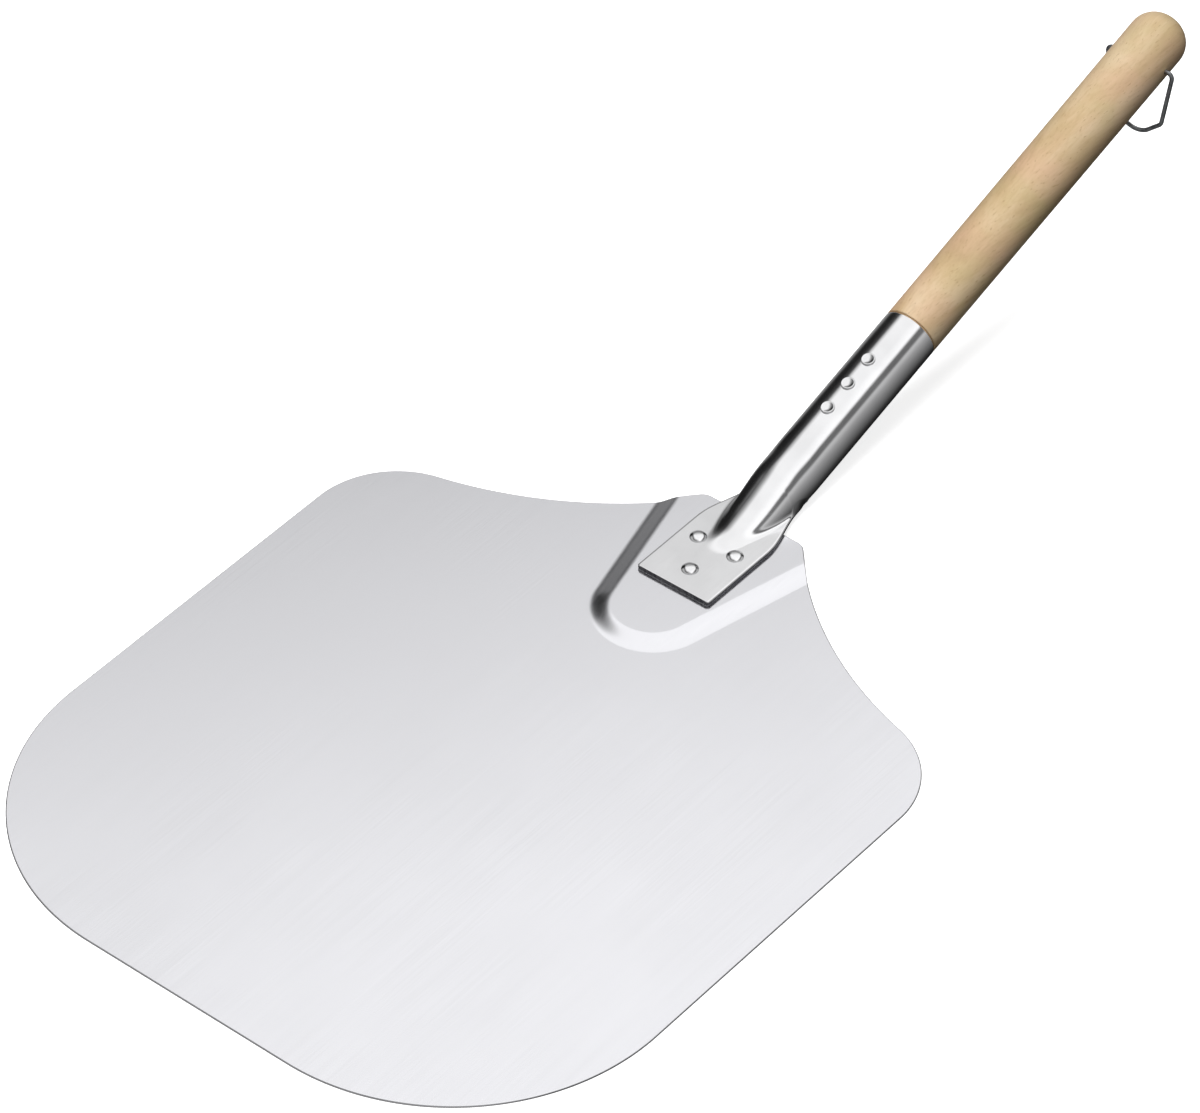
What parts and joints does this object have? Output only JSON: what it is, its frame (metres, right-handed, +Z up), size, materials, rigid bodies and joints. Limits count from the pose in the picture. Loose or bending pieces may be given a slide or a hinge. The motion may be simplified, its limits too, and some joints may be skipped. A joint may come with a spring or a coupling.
{
  "type": "pizza peel",
  "caption": "Short-handled pizza peel: flat metal blade with a riveted tube socket, a wooden handle and a wire hanging loop.",
  "frame": {"origin": "centre of the whole footprint, on the surface the blade rests on", "axes": "+X from the blade's front edge towards the handle's tip, +Z up, +Y to the left when facing +X"},
  "size_m": [0.6464, 0.3048, 0.1009],
  "materials": {
    "blade_aluminium": "satin rolled aluminium sheet",
    "socket_steel": "bright polished steel tube",
    "rivet_aluminium": "bright aluminium rivet",
    "nail_steel": "bright plated steel nail",
    "handle_wood": "turned pale hardwood, light oil",
    "loop_wire": "drawn steel wire, dull"
  },
  "bodies": {
    "peel": {"blade": "blade_aluminium", "handle_socket": "socket_steel", "blade_rivet_1": "rivet_aluminium", "blade_rivet_2": "rivet_aluminium", "blade_rivet_3": "rivet_aluminium", "socket_nail_1": "nail_steel", "socket_nail_2": "nail_steel", "socket_nail_3": "nail_steel", "handle": "handle_wood"},
    "loop": {"hanging_loop": "loop_wire"}
  },
  "joints": [
    {"name": "loop_swing", "type": "hinge", "parent": "peel", "child": "loop", "pos_m": [0.29968, 0, 0.08424], "axis": [0, 1, 0], "range_deg": [-263, 50]}
  ]
}
